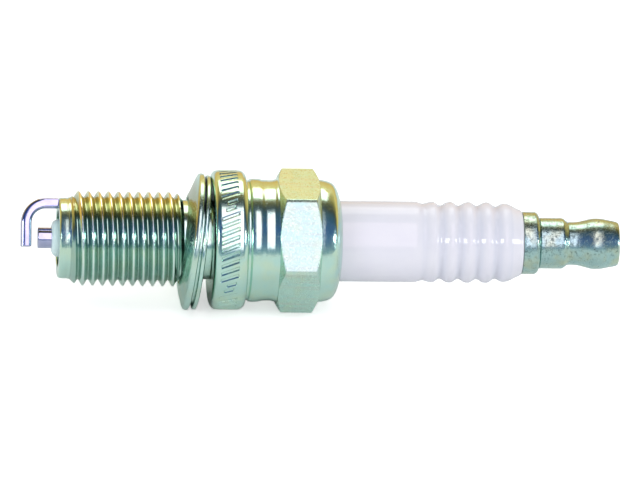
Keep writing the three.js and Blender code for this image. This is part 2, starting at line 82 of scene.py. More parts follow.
GASKET_DROP = 0.42

shell_low, shell_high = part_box("shell")
SEAT_X = shell_low.x + THREAD_REACH * MM
AXIS_Z = (shell_low.z + shell_high.z) / 2


# ---- Mesh making ----
def spot(place, radius, angle):
    """The point of the frame at a place along the axis, a radius and an angle up from +Y."""
    y = radius * math.cos(angle) * MM
    z = AXIS_Z + radius * math.sin(angle) * MM
    return (SEAT_X + place * MM, y, z)


def even_angles(count):
    return [TURN * i / count for i in range(count)]


def rounded(profile, radius, steps=4):
    """A polyline with its inner corners rounded. A point may carry its own radius as a third number."""
    points = [tuple(p[:2]) for p in profile]
    radii = [p[2] if len(p) > 2 else radius for p in profile]
    out = [points[0]]
    for before, corner, after, size in zip(points, points[1:], points[2:], radii[1:]):
        c = np.array(corner)
        to_before = np.array(before) - c
        to_after = np.array(after) - c
        room = 0.45 * min(np.linalg.norm(to_before), np.linalg.norm(to_after))
        reach = min(size, room)
        if reach < 1e-4:
            out.append(corner)
            continue
        a = c + to_before / np.linalg.norm(to_before) * reach
        b = c + to_after / np.linalg.norm(to_after) * reach
        for i in range(steps + 1):
            t = i / steps
            out.append(tuple((1 - t) ** 2 * a + 2 * t * (1 - t) * c + t * t * b))
    out.append(points[-1])
    return out


def smooth_line(knots, steps=6):
    """A Catmull-Rom curve through the knots."""
    pts = [np.array(k, float) for k in knots]
    pts = [2 * pts[0] - pts[1]] + pts + [2 * pts[-1] - pts[-2]]
    out = []
    for p0, p1, p2, p3 in zip(pts, pts[1:], pts[2:], pts[3:]):
        for i in range(steps):
            t = i / steps
            out.append(
                tuple(
                    0.5
                    * (
                        2 * p1
                        + (p2 - p0) * t
                        + (2 * p0 - 5 * p1 + 4 * p2 - p3) * t * t
                        + (3 * p1 - p0 - 3 * p2 + p3) * t**3
                    )
                )
            )
    out.append(tuple(pts[-2]))
    return out


class Skin:
    """A closed surface, made ring by ring around the plug's axis."""

    def __init__(self):
        self.points = []
        self.faces = []

    def point(self, place, radius, angle):
        self.points.append(spot(place, radius, angle))
        return len(self.points) - 1

    def ring(self, place, radius, angles):
        """place and radius are numbers, or lists with one number for each angle."""
        places = place if hasattr(place, "__len__") else [place] * len(angles)
        radii = radius if hasattr(radius, "__len__") else [radius] * len(angles)
        return [self.point(p, r, a) for p, r, a in zip(places, radii, angles)]

    def join(self, first, second):
        """Quads between two rings with the same angles, or a fan from each point of a coarser one."""
        if len(second) < len(first):
            first, second = second, first
            flip = True
        else:
            flip = False
        share = len(second) // len(first)
        count = len(second)
        for i in range(len(first)):
            here = first[i]
            after = first[(i + 1) % len(first)]
            if share == 1:
                face = [here, after, second[(i + 1) % count], second[i]]
                self.faces.append(face[::-1] if flip else face)
                continue
            half = share // 2
            for j in range(share):
                low = second[i * share + j]
                high = second[(i * share + j + 1) % count]
                near = here if j < half else after
                face = [near, high, low]
                self.faces.append(face[::-1] if flip else face)
                if j == half:
                    middle = [here, after, low]
                    self.faces.append(middle[::-1] if flip else middle)

    def cap(self, ring, place):
        centre = self.point(place, 0, 0)
        for i, corner in enumerate(ring):
            self.faces.append([corner, ring[(i + 1) % len(ring)], centre])

    def build(self, name, crease=38):
        mesh = bpy.data.meshes.new(name)
        mesh.from_pydata(self.points, [], self.faces)
        mesh.validate()
        return finish_mesh(name, mesh, crease)


def finish_mesh(name, mesh, crease=38):
    bm = bmesh.new()
    bm.from_mesh(mesh)
    bmesh.ops.remove_doubles(bm, verts=bm.verts, dist=2e-8)
    bmesh.ops.dissolve_degenerate(bm, edges=bm.edges, dist=2e-8)
    bmesh.ops.recalc_face_normals(bm, faces=bm.faces)
    bm.to_mesh(mesh)
    bm.free()
    mesh.polygons.foreach_set("use_smooth", [True] * len(mesh.polygons))
    mesh.set_sharp_from_angle(angle=math.radians(crease))
    mesh.update()
    piece = bpy.data.objects.new(name, mesh)
    bpy.context.scene.collection.objects.link(piece)
    weighted = piece.modifiers.new("weighted_normals", "WEIGHTED_NORMAL")
    weighted.keep_sharp = True
    return piece


def turned(name, profile, sides, crease=38, wander=None):
    """A closed profile turned about the axis. It may start and end on the axis.

    wander gives how far a point strays from its place and radius."""
    skin = Skin()
    angles = even_angles(sides)
    rings = []
    for place, radius in profile:
        if radius < 1e-6:
            rings.append(None)
            continue
        strays = [wander(place, radius, a) if wander else (0, 0) for a in angles]
        places = [place + along for along, _ in strays]
        rings.append(skin.ring(places, [radius + out for _, out in strays], angles))
    for i, ring in enumerate(rings):
        after = rings[(i + 1) % len(rings)]
        if ring and after:
            skin.join(ring, after)
    if rings[0] is None:
        skin.cap(rings[1], profile[0][0])
    if rings[-1] is None:
        skin.cap(rings[-2], profile[-1][0])
    return skin.build(name, crease)


def thread_columns(skin, angles, start_ring, end_ring, start, end, crest_place, pitch, shape, limit):
    """A screw thread between two rings. shape lists (offset, radius) over one pitch from its crest."""
    count = len(shape)
    columns = []
    for k, angle in enumerate(angles):
        shift = crest_place + pitch * angle / TURN
        first_turn = math.floor((start - shift) / pitch) - 1
        last_turn = math.ceil((end - shift) / pitch) + 1
        column = [(-math.inf, start_ring[k])]
        for turn in range(first_turn, last_turn + 1):
            for i, (offset, radius) in enumerate(shape):
                place = shift + turn * pitch + offset
                if start + 0.012 < place < end - 0.012:
                    held = limit(place, radius)
                    column.append((turn * count + i, skin.point(place, held, angle)))
        column.append((math.inf, end_ring[k]))
        columns.append(column)
    for k, column in enumerate(columns):
        if k + 1 < len(columns):
            after = columns[k + 1]
        else:
            after = [(key - count, vertex) for key, vertex in columns[0]]
        i = j = 0
        while i + 1 < len(column) or j + 1 < len(after):
            next_a = column[i + 1][0] if i + 1 < len(column) else math.inf
            next_b = after[j + 1][0] if j + 1 < len(after) else math.inf
            a, b = column[i][1], after[j][1]
            if i + 1 < len(column) and j + 1 < len(after) and next_a == next_b:
                skin.faces.append([a, column[i + 1][1], after[j + 1][1], b])
                i += 1
                j += 1
            elif j + 1 >= len(after) or (i + 1 < len(column) and next_a < next_b):
                skin.faces.append([a, column[i + 1][1], b])
                i += 1
            else:
                skin.faces.append([a, after[j + 1][1], b])
                j += 1


def v_groove(crest, root, pitch, flat):
    """One pitch of a V thread with a small flat crest and a rounded root."""
    half = pitch / 2
    slope = (crest - root) / (half - flat / 2)
    edge = flat / 2
    return [
        (-edge * 0.7, crest),
        (edge * 0.7, crest),
        (edge * 1.45, crest - 0.32 * edge),
        (edge * 2.1, crest - 1.1 * edge),
        (edge + 0.42 * (half - edge), crest - 0.42 * (crest - root)),
        (half - 0.1 * pitch, root + 0.1 * pitch * slope * 0.72),
        (half - 0.035 * pitch, root + 0.012),
        (half + 0.035 * pitch, root + 0.012),
        (half + 0.1 * pitch, root + 0.1 * pitch * slope * 0.72),
        (pitch - edge - 0.42 * (half - edge), crest - 0.42 * (crest - root)),
        (pitch - edge * 2.1, crest - 1.1 * edge),
        (pitch - edge * 1.45, crest - 0.32 * edge),
    ]


# ---- Shell ----
COLUMNS = 192
FINE = 4  # the flange's rim has this many columns for each of the others
CORNER_HALF = math.acos(FLAT_RADIUS / CORNER_RADIUS)  # from a flat's middle to its rounded edge


def hex_radius(angle):
    """The hexagon's outline, with its corners turned down."""
    from_flat = (angle - math.pi / 6) % (math.pi / 3)
    if from_flat > math.pi / 6:
        from_flat -= math.pi / 3
    return min(FLAT_RADIUS / math.cos(from_flat), CORNER_RADIUS)


def hex_place(radius, end):
    """Where the chamfered end of the hexagon meets its side."""
    run = HEX_CHAMFER * (radius - FLAT_RADIUS) / (CORNER_RADIUS - FLAT_RADIUS)
    run = max(run, 0.02)
    return HEX_START + run if end < 0 else HEX_END - run


STROKE_COUNT = 54
STROKE_MIDDLE = 2.02
STROKE_SLOPE = 0.4
STROKE_HALF_LENGTH = 1.12
STROKE_HALF_WIDTH = 0.23
STROKE_DEPTH = 0.16


def flange_strokes(place, angle):
    """Depth of the slanted strokes rolled into the flange's rim. A few are short or faint."""
    spacing = TURN / STROKE_COUNT
    nearest = round(angle / spacing)
    depth = 0
    for index in (nearest - 1, nearest, nearest + 1):
        kind = (index % STROKE_COUNT) * 7 % 11
        half_length = 0.6 if kind in (1, 5) else STROKE_HALF_LENGTH
        along = place - STROKE_MIDDLE - (0.3 if kind == 5 else 0)
        centre = index * spacing - along * STROKE_SLOPE / FLANGE_RADIUS
        across = abs(angle - centre) * FLANGE_RADIUS
        inside = min(STROKE_HALF_WIDTH - across, half_length - abs(along))
        share = min(1, max(0, (inside + 0.03) / 0.1))
        depth = max(depth, share * (STROKE_DEPTH / 2 if kind == 8 else STROKE_DEPTH))
    return depth


DENT_COUNT = 60
DENT_DEPTH = 0.022


def collar_dents(count):
    """Places, angles and sizes of the small dents that the rolling tool has left."""
    chance = random.Random(11)
    return [
        (chance.uniform(14.3, 15.9), chance.uniform(0, TURN), chance.uniform(0.14, 0.42))
        for _ in range(count)
    ]


def dented(place, radius, angle, dents):
    """A collar's radius, less the dents near this point."""
    dip = 0
    for dent_place, dent_angle, size in dents:
        along = (place - dent_place) / size
        turn = (angle - dent_angle + math.pi) % TURN - math.pi
        across = turn * radius / size
        if abs(along) < 2.5 and abs(across) < 2.5:
            dip += DENT_DEPTH * math.exp(-(along**2) - across**2)
    return radius - dip


def make_shell():
    skin = Skin()
    edge = math.pi / 6 - CORNER_HALF
    extra = [math.pi / 3 * k + s * edge for k in range(6) for s in (-1, -0.4, 0.4, 1)]
    angles = sorted(a % TURN for a in even_angles(COLUMNS) + extra)
    fine = []
    for i, a in enumerate(angles):
        gap = (angles[(i + 1) % len(angles)] - a) % TURN
        fine += [a + gap * j / FINE for j in range(FINE)]

    def run(profile, previous=None):
        for place, radius in profile:
            ring = skin.ring(place, radius, angles)
            if previous:
                skin.join(previous, ring)
            previous = ring
        return previous

    end = -THREAD_REACH
    thread_start = end + PILOT_LENGTH
    thread_end = -3.5
    pilot_front = PILOT_RADIUS - PILOT_TAPER
    # The shell's end face and the pilot in front of the thread, which has a shallow turned line.
    first = skin.ring(end + 0.06, 3.6, angles)
    pilot = [
        (end, 3.66),
        (end, pilot_front - 0.2),
        (end + 0.2, pilot_front),
        (end + 0.95, pilot_front + 0.06),
        (end + 1.02, pilot_front + 0.02),
        (end + 1.14, pilot_front + 0.02),
        (end + 1.2, PILOT_RADIUS - 0.02),
        (thread_start, PILOT_RADIUS),
    ]
    last = run(rounded(pilot, 0.05, 3), first)

    # The thread rises out of the pilot and runs out into the relief.
    def thread_limit(place, radius):
        lead = PILOT_RADIUS + 0.02 + (place - thread_start) * 0.9
        run_out = RELIEF_RADIUS + (thread_end - place) * 1.3
        floor = PILOT_RADIUS if place < -10 else RELIEF_RADIUS
        return max(floor, min(radius, lead, run_out))

    relief_start = skin.ring(thread_end, RELIEF_RADIUS, angles)
    thread_columns(
        skin,
        angles,
        last,
        relief_start,
        thread_start,
        thread_end,
        CREST_PLACE - THREAD_PITCH * GROUND_ANGLE / TURN,
        THREAD_PITCH,
        v_groove(CREST_RADIUS, CREST_RADIUS - THREAD_DEPTH, THREAD_PITCH, 0.13),
        thread_limit,
    )
    # The relief, the seat and the flange's round front.
    front = [(-0.12, RELIEF_RADIUS), (0, RELIEF_RADIUS + 0.12), (0, SEAT_RADIUS - 0.02), (0, SEAT_RADIUS)]
    for i in range(1, 9):
        t = i / 8
        place = 2 * t * (1 - t) * 0.225 + t * t * 0.9
        front.append((place, FLANGE_RADIUS - (1 - t) ** 2 * (FLANGE_RADIUS - SEAT_RADIUS)))
    last = run(front, relief_start)
    # The rim with its strokes, on finer columns.
    for place in np.linspace(0.93, 3.3, 37):
        ring = skin.ring(place, [FLANGE_RADIUS - flange_strokes(place, a) for a in fine], fine)
        skin.join(last, ring)
        last = ring
    back = [
        (3.36, FLANGE_RADIUS),
        (FLANGE_END - 0.62, FLANGE_RADIUS, 0.35),
        (FLANGE_END - 0.1, FLANGE_RADIUS - 0.4, 0.2),
        (FLANGE_END, 7.9),
        (FLANGE_END, 7.47, 0.04),
        (FLANGE_END + 0.3, 7.45, 0.1),
        (FLANGE_END + 0.55, NECK_RADIUS - 0.04, 0.12),
        (5.3, NECK_RADIUS),
    ]
    last = run(rounded(back, 0.1, 4), last)
    neck = [
        (5.35, 7.7),
        (5.75, 7.69),
        (6.05, 7.66),
        (6.3, 7.6),
        (6.55, 7.545),
        (6.9, 7.525),
        (7.35, 7.51),
        (7.65, 7.52),
        (7.85, 7.565),
        (8.05, 7.63),
        (8.2, 7.66),
    ]
    last = run(smooth_line(neck, 4), last)
    last = run([(HEX_START - 0.03, NECK_RADIUS - 0.03), (HEX_START, NECK_RADIUS + 0.02)], last)
    # The hexagon: each column is rounded where the turned ends meet the flats.
    columns = []
    for radius in (hex_radius(a) for a in angles):
        side = [
            (HEX_START, NECK_RADIUS + 0.05),
            (HEX_START, FLAT_RADIUS - 0.02, 0.03),
            (hex_place(radius, -1), radius, 0.1),
            (hex_place(radius, 1), radius, 0.1),
            (HEX_END, FLAT_RADIUS - 0.02, 0.03),
            (HEX_END, COLLAR_RADIUS + 0.06),
        ]
        columns.append(rounded(side, 0, 4))
    for row in zip(*columns):
        ring = skin.ring([place for place, _ in row], [radius for _, radius in row], angles)
        skin.join(last, ring)
        last = ring
    # The rolled collar.
    dents = collar_dents(DENT_COUNT)
    collar = [
        (HEX_END + 0.03, COLLAR_RADIUS + 0.02),
        (14.0, 7.61),
        (14.5, 7.5),
        (14.95, 7.35),
        (15.28, 7.15),
        (15.55, 6.84),
        (15.8, 6.38),
        (15.99, 5.86),
        (16.12, 5.42),
        (16.18, 5.18),
    ]
    for place, radius in smooth_line(collar, 5):
        ring = skin.ring(place, [dented(place, radius, a, dents) for a in angles], angles)
        skin.join(last, ring)
        last = ring
    # Inside: under the rolled lip, the head bore, the ledge and the mouth.
    seat_cone = -7.6 - 0.68  # where the seating cone's radius is 3
    inside = [
        (COLLAR_END, COLLAR_EDGE_RADIUS),
        (COLLAR_END - 1.05, COLLAR_EDGE_RADIUS),
        (COLLAR_END - 1.08, 5.6),
        (COLLAR_END - 1.2, 6.0),
        (COLLAR_END - 1.8, 6.2),
        (3.1, 6.2),
        (0.9, 4.0),
        (seat_cone + 1.4, 4.0),
        (seat_cone + 0.28, 3.2),
        (seat_cone - 0.22, 3.2),
        (seat_cone - 0.62, 3.6),
        (end + 0.5, 3.6),
    ]
    last = run(inside, last)
    skin.join(last, first)
    return skin.build("shell_skin", 32)


# ---- Gasket ----
def make_gasket():
    """The folded ring: two rounded layers at the rim and a cone with a rolled lip."""
    fold = -0.66  # between the rear layer and the front one
    profile = [
        (0, 6.5),
        (0, 8.2, 0.2),
        (-0.14, 8.45, 0.2),
        (fold + 0.17, 8.45, 0.15),
        (fold + 0.07, 8.24, 0.1),
        (fold + 0.06, 7.6, 0.02),
        (fold - 0.09, 7.6, 0.02),
        (fold - 0.1, 8.3, 0.1),
        (fold - 0.22, 8.6, 0.2),
        (-1.42, 8.6, 0.22),
        (-1.66, 8.25, 0.22),
        (-1.98, 7.3, 0.6),
        (-2.4, 6.15, 0.2),
        (-2.6, 5.72, 0.12),
        (-2.45, 5.52, 0.1),
        (-2.2, 5.62, 0.1),
        (-0.825, 6.25, 0.3),
        (-0.2, 6.25, 0.15),
        (0, 6.5),
    ]
    chance = random.Random(3)
    waves = [(n, chance.uniform(0, TURN), chance.uniform(0.3, 1)) for n in (3, 5, 8, 13)]

    def wander(place, radius, angle):
        """The rim is a little wavy, and its front layer has sprung open away from the hinge."""
        share = max(0, min(1, (radius - 5.6) / 2.5))
        out = -0.012 * share * sum(w * (1 + math.sin(n * angle + p)) / 2 for n, p, w in waves)
        sprung = 0.09 * (1 - math.cos(angle - GROUND_ANGLE)) if place < fold else 0
        return -sprung * min(1, max(0, radius - 5.6)), out

    piece = turned("gasket_skin", rounded(profile, 0.1, 5)[:-1], 192, 40, wander)
    # It leans on the seat at the ground electrode's side, as its CAD node does.
    clearance, pivot = 0.03, 8.1
    outward = Vector((0, math.cos(GROUND_ANGLE), math.sin(GROUND_ANGLE)))
    hinge = Vector((SEAT_X - clearance * MM, 0, AXIS_Z)) + outward * (pivot - GASKET_DROP) * MM
    centre = Vector((SEAT_X, 0, AXIS_Z)) + outward * pivot * MM
    across = Vector((1, 0, 0)).cross(outward)
    turn = Matrix.Rotation(-GASKET_TILT, 4, across)
    piece.data.transform(Matrix.Translation(hinge) @ turn @ Matrix.Translation(-centre))
    return piece


# ---- Insulator ----
def rib_radius(place):
    """The ribbed end: five soft ribs, the last a little lower, and a shallow waist in front of them."""
    last_centre = RIB_START + 4 * RIB_SPACING
    if place < RIB_START:
        waist = math.exp(-(((place - (RIB_START - 1.13)) / 0.62) ** 2))
        return BARREL_RADIUS - 0.24 * waist
    if place > last_centre:
        return BARREL_RADIUS - 0.15
    turns = (place - RIB_START) / RIB_SPACING
    phase = (turns % 1) ** 0.88  # a rib falls faster behind its crest than it rises
    groove = (0.5 - 0.5 * math.cos(TURN * phase)) ** 1.5
    return BARREL_RADIUS - 0.45 * groove - 0.15 * max(0, turns - 3)


def make_insulator():
    bore = ELECTRODE_RADIUS + 0.06
    tip = bore + 0.29
    body = [
        (-19.8, bore),
        (-19.8, tip, 0.15),
        (-19.59, tip + 0.49, 0.3),
        (-19.1, tip + 0.7, 0.5),
        (-9, 2.85, 0.6),
        (-7.6, 3.0, 0.3),
        (-6.41, 3.85, 0.3),
        (1.1, 3.85, 0.3),
        (3.3, 6.05, 0.4),
        (COLLAR_END - 5.5, 6.05, 0.6),
        (COLLAR_END - 4.3, BARREL_RADIUS, 0.5),
    ]
    places = np.concatenate([np.linspace(13, 24.8, 25), np.linspace(25, RIB_START + 9.2, 160)])
    ribs = [(place, rib_radius(place)) for place in places]
    shoulder = [(37.05, 4.88), (37.4, 4.8), (37.9, 4.57), (38.4, 4.3), (38.8, 4.14), (38.96, 4.03)]
    top = [
        (INSULATOR_TOP - 0.07, 3.98),
        (INSULATOR_TOP, 3.86, 0.05),
        (INSULATOR_TOP, 1.95),
        (-1, 1.95),
        (-1, bore),
        (-19.8, bore),
    ]
    profile = rounded(body, 0.05, 5) + ribs + smooth_line(shoulder, 4) + rounded(top, 0, 3)[:-1]
    return turned("insulator_skin", profile, 144, 40)


# ---- Centre electrode ----
def make_centre_tip():
    core = ELECTRODE_RADIUS / 2 + 0.04
    profile = [
        (ELECTRODE_TIP, 0),
        (ELECTRODE_TIP, ELECTRODE_RADIUS, 0.09),
        (-0.96, ELECTRODE_RADIUS),
        (-0.96, 1.8),
        (0.24, 1.8),
        (0.24, core),
        (ELECTRODE_TIP + 1.86, core),
        (ELECTRODE_TIP + 1.86, 0),
    ]
    return turned("center_electrode_skin", rounded(profile, 0, 4), 72, 34)


# ---- Ground electrode ----
def rounded_bar_section(thickness, width, edge, steps=7):
    """Points around a flat bar's section: across its thickness, then across its width."""
    points = []
    for quadrant, (side_t, side_w) in enumerate(((1, 1), (-1, 1), (-1, -1), (1, -1))):
        for i in range(steps):
            a = math.pi / 2 * (quadrant + i / (steps - 1))
            t = side_t * (thickness / 2 - edge) + edge * math.cos(a)
            w = side_w * (width / 2 - edge) + edge * math.sin(a)
            points.append((t, w))
    return points


def make_ground():
    """A rounded flat bar welded to the shell's end and bent over the centre electrode."""
    thickness, width, bend = 1.3, 2.5, 3.15
    spark_gap = 0.8
    outer_face = ELECTRODE_TIP - spark_gap - thickness
    outer_height = 4.96
    reach = -1.12
    middle = bend - thickness / 2
    bend_place = outer_face + bend
    bend_height = outer_height - bend
    path = [(p, outer_height - thickness / 2, 0.0) for p in np.linspace(-THREAD_REACH, bend_place, 9)]
    for i in range(1, 25):
        a = math.pi / 2 * i / 24
        path.append((bend_place - middle * math.sin(a), bend_height + middle * math.cos(a), a))
    tip_place = outer_face + thickness / 2
    path += [(tip_place, h, math.pi / 2) for h in np.linspace(bend_height - 0.15, reach + 0.1, 8)]
    rings = [(*step, 1.0) for step in path] + [(tip_place, reach, math.pi / 2, 0.87)]
    section = rounded_bar_section(thickness, width, 0.36)
    count = len(section)
    points, faces = [], []
    for place, height, a, share in rings:
        for t, w in section:
            p = place - math.sin(a) * t * share
            h = height + math.cos(a) * t * share
            w = w * (1 + share) / 2
            y = h * math.cos(GROUND_ANGLE) + w * math.sin(GROUND_ANGLE)
            z = h * math.sin(GROUND_ANGLE) - w * math.cos(GROUND_ANGLE)
            points.append((SEAT_X + p * MM, y * MM, AXIS_Z + z * MM))
    for step in range(len(rings) - 1):
        a, b = step * count, (step + 1) * count
        for i in range(count):
            j = (i + 1) % count
            faces.append([a + i, a + j, b + j, b + i])
    faces.append(list(range(count)))
    faces.append([(len(rings) - 1) * count + i for i in reversed(range(count))])
    mesh = bpy.data.meshes.new("ground_electrode_skin")
    mesh.from_pydata(points, [], faces)
    return finish_mesh("ground_electrode_skin", mesh, 34)


# ---- Terminal ----
def make_stud():
    """The stud's rod and flange and the M4 thread above it, which the nut hides."""
    skin = Skin()
    angles = even_angles(72)
    core = 1.62
    flange_end = NUT_START - 0.04
    thread_start, thread_end = flange_end + 0.3, flange_end + 8.4
    body = [
        (13.1, 1.55),
        (13.7, 1.85),
        (STUD_FLANGE_START, 1.85),
        (STUD_FLANGE_START, 3.82, 0.06),
        (STUD_FLANGE_START + 0.08, 3.9, 0.06),
        (flange_end - 0.38, 3.9, 0.14),
        (flange_end, 3.55, 0.15),
        (flange_end, 1.7),
        (thread_start, core),
    ]
    rings = [skin.ring(place, radius, angles) for place, radius in rounded(body, 0.02, 4)]
    for before, after in zip(rings, rings[1:]):
        skin.join(before, after)
    tip = skin.ring(thread_end - 0.02, core, angles)

    def limit(place, radius):
        chamfer = min(place - thread_start, thread_end - place) + core
        return max(core, min(radius, chamfer))

    shape = v_groove(2.0, 1.65, 0.7, 0.1)
    ends = (thread_start, thread_end - 0.02)
    thread_columns(skin, angles, rings[-1], tip, *ends, flange_end, 0.7, shape, limit)
    skin.cap(rings[0], 13.1)
    skin.cap(tip, thread_end)
    return skin.build("terminal_stud_skin", 34)


def make_nut():
    """The thimble: a body, a short neck and a barrel-shaped ball, with a plain bore."""
    base = [
        (0.2, 2.08),
        (0, 2.28, 0.04),
        (0, 3.02, 0.06),
        (0.13, 3.17, 0.08),
        (3.02, 3.17, 0.16),
        (3.6, 2.72, 0.14),
        (3.72, 2.68),
    ]
    ball = [
        (3.8, 2.68),
        (4.4, 2.68),
        (5.0, 2.75),
        (5.6, 2.88),
        (6.1, 3.01),
        (6.6, 3.12),
        (7.1, 3.17),
        (7.8, 3.15),
        (8.3, 3.07),
        (8.85, 2.96),
        (9.35, 2.87),
        (9.75, 2.77),
    ]
    end = [(9.8, 2.755), (10.0, 2.66, 0.12), (10.05, 2.4), (10.05, 2.28, 0.04), (9.85, 2.08, 0.04)]
    end += [(0.2, 2.08)]
    profile = rounded(base, 0.05, 4) + smooth_line(ball, 4) + rounded(end, 0.05, 4)[:-1]
    return turned("terminal_nut_skin", [(NUT_START + p, r) for p, r in profile], 96, 34)


# ---- Materials ----
class Look:
    """A node material around one Principled shader."""

    def __init__(self, name, **values):
        self.material = bpy.data.materials.new(name)
        self.material.use_nodes = True
        self.tree = self.material.node_tree
        self.shader = self.tree.nodes["Principled BSDF"]
        for socket, value in values.items():
            self.shader.inputs[socket.replace("_", " ")].default_value = value
        self.coordinates = self.node("ShaderNodeTexCoord").outputs["Object"]

    def node(self, kind, **settings):
        made = self.tree.nodes.new(kind)
        for key, value in settings.items():
            setattr(made, key, value)
        return made

    def link(self, output, target):
        self.tree.links.new(output, target)

    def stretched(self, scale):
        mapping = self.node("ShaderNodeMapping")
        mapping.inputs["Scale"].default_value = scale
        self.link(self.coordinates, mapping.inputs["Vector"])
        return mapping.outputs["Vector"]

    def noise(self, size, detail=3, stretch=(1, 1, 1), rough=0.5):
        """Noise with features of about the given size in millimetres."""
        noise = self.node("ShaderNodeTexNoise")
        noise.inputs["Scale"].default_value = 1 / (size * MM)
        noise.inputs["Detail"].default_value = detail
        noise.inputs["Roughness"].default_value = rough
        self.link(self.stretched(stretch), noise.inputs["Vector"])
        return noise.outputs["Fac"]

    def levels(self, value, low, high, to_low=0.0, to_high=1.0):
        level = self.node("ShaderNodeMapRange", interpolation_type="SMOOTHSTEP")
        for socket, number in zip(("From Min", "From Max", "To Min", "To Max"), (low, high, to_low, to_high)):
            level.inputs[socket].default_value = number
        self.link(value, level.inputs["Value"])
        return level.outputs["Result"]

    def mix(self, factor, first, second, blend="MIX"):
        mix = self.node("ShaderNodeMix", data_type="RGBA", blend_type=blend)
        for socket, value in (("Factor_Float", factor), ("A_Color", first), ("B_Color", second)):
            target = next(s for s in mix.inputs if s.identifier == socket)
            if isinstance(value, bpy.types.NodeSocket):
                self.link(value, target)
            elif isinstance(value, (int, float)):
                target.default_value = value
            else:
                target.default_value = (*value, 1)
        return next(s for s in mix.outputs if s.identifier == "Result_Color")

    def math(self, operation, first, second=0.0):
        made = self.node("ShaderNodeMath", operation=operation)
        for target, value in zip(made.inputs, (first, second)):
            if isinstance(value, bpy.types.NodeSocket):
                self.link(value, target)
            else:
                target.default_value = value
        return made.outputs[0]

    def along(self, axis, start):
        """Distance from a start along one axis of the frame, in millimetres."""
        parts = self.node("ShaderNodeSeparateXYZ")
        self.link(self.coordinates, parts.inputs[0])
        return self.math("MULTIPLY", self.math("SUBTRACT", parts.outputs[axis], start), 1 / MM)

    def height(self):
        """Height above the plug's axis."""
        return self.along("Z", AXIS_Z)

    def radius(self):
        """Distance from the plug's axis."""
        across, height = self.along("Y", 0), self.height()
        squares = self.math("MULTIPLY", across, across), self.math("MULTIPLY", height, height)
        return self.math("SQRT", self.math("ADD", *squares))

    def place(self):
        """Place along the axis from the seat."""
        return self.along("X", SEAT_X)

    def band(self, value, low, high, soft):
        """One between low and high, and zero outside them."""
        return self.math(
            "MULTIPLY",
            self.levels(value, low - soft, low + soft),
            self.levels(value, high + soft, high - soft),
        )

    def bump(self, *heights):
        """heights are (value, depth in millimetres) pairs."""
        normal = None
        for value, depth in heights:
            bump = self.node("ShaderNodeBump")
            bump.inputs["Strength"].default_value = 1
            bump.inputs["Distance"].default_value = depth * MM
            self.link(value, bump.inputs["Height"])
            if normal:
                self.link(normal, bump.inputs["Normal"])
            normal = bump.outputs["Normal"]
        self.link(normal, self.shader.inputs["Normal"])

    def colour(self, value):
        self.link(value, self.shader.inputs["Base Color"])

    def rough(self, value):
        self.link(value, self.shader.inputs["Roughness"])


def plated_look():
    """Zinc-plated steel, tinted green and straw, with turning marks and scuffs.

    The thread has a painted gold reflection along its top, a painted highlight on its crests and painted
    shade in its roots."""
    look = Look("plated_steel", Metallic=1.0)
    straw = look.levels(look.noise(2.6, 4), 0.42, 0.68)
    cool = look.levels(look.noise(1.4, 3, (1.4, 1, 1)), 0.45, 0.75)
    base = look.mix(straw, (0.54, 0.79, 0.69), (0.58, 0.78, 0.62))
    base = look.mix(look.math("MULTIPLY", cool, 0.5), base, (0.46, 0.76, 0.72))
    radius = look.radius()
    place = look.place()
    threaded = look.band(place, -17.6, -4.0, 0.1)
    # Painted reflection: the upper side of the thread is tinted gold, as a warm light behind the plug shows
    # in it.
    painted_gold_reflection = look.math("MULTIPLY", look.levels(look.height(), 4.2, 5.0), threaded)
    base = look.mix(look.math("MULTIPLY", painted_gold_reflection, 0.7), base, (0.84, 0.78, 0.32))
    # Painted shade: the thread's roots are darkened towards deep green-grey, a little more under the painted
    # gold reflection.
    root = look.math("MULTIPLY", look.levels(radius, 5.84, 5.45), threaded)
    root = look.math("MULTIPLY", root, look.levels(painted_gold_reflection, 0, 1, 0.42, 0.5))
    base = look.mix(root, base, (0.13, 0.24, 0.2))
    # Painted highlight: the thread's crests are lightened to a pale line.
    crest = look.math("MULTIPLY", look.levels(radius, 5.84, 5.92), threaded)
    base = look.mix(look.math("MULTIPLY", crest, 0.7), base, (0.86, 0.95, 0.92))
    turning = look.noise(0.09, 2, (1, 0.02, 0.02))
    grain = look.noise(0.22, 4)
    scuff = look.levels(look.noise(0.35, 5, (0.4, 1, 1), 0.7), 0.62, 0.78)
    base = look.mix(look.math("MULTIPLY", scuff, 0.3), base, (0.72, 0.88, 0.80))
    flats = look.math("MULTIPLY", look.band(place, HEX_START, HEX_END, 0.1), look.levels(radius, 7.8, 7.9))
    brushed = look.math("MULTIPLY", look.levels(look.noise(0.4, 4, (0.06, 1, 1)), 0.42, 0.7), flats)
    base = look.mix(look.math("MULTIPLY", brushed, 0.5), base, (0.58, 0.66, 0.58))
    look.colour(base)
    rough = look.levels(grain, 0.2, 0.8, 0.12, 0.24)
    rough = look.math("ADD", rough, look.math("MULTIPLY", scuff, 0.14))
    rough = look.math("ADD", rough, look.math("MULTIPLY", flats, 0.12))
    look.rough(rough)
    look.bump((turning, 0.003), (grain, 0.0025), (scuff, 0.003))
    return look.material


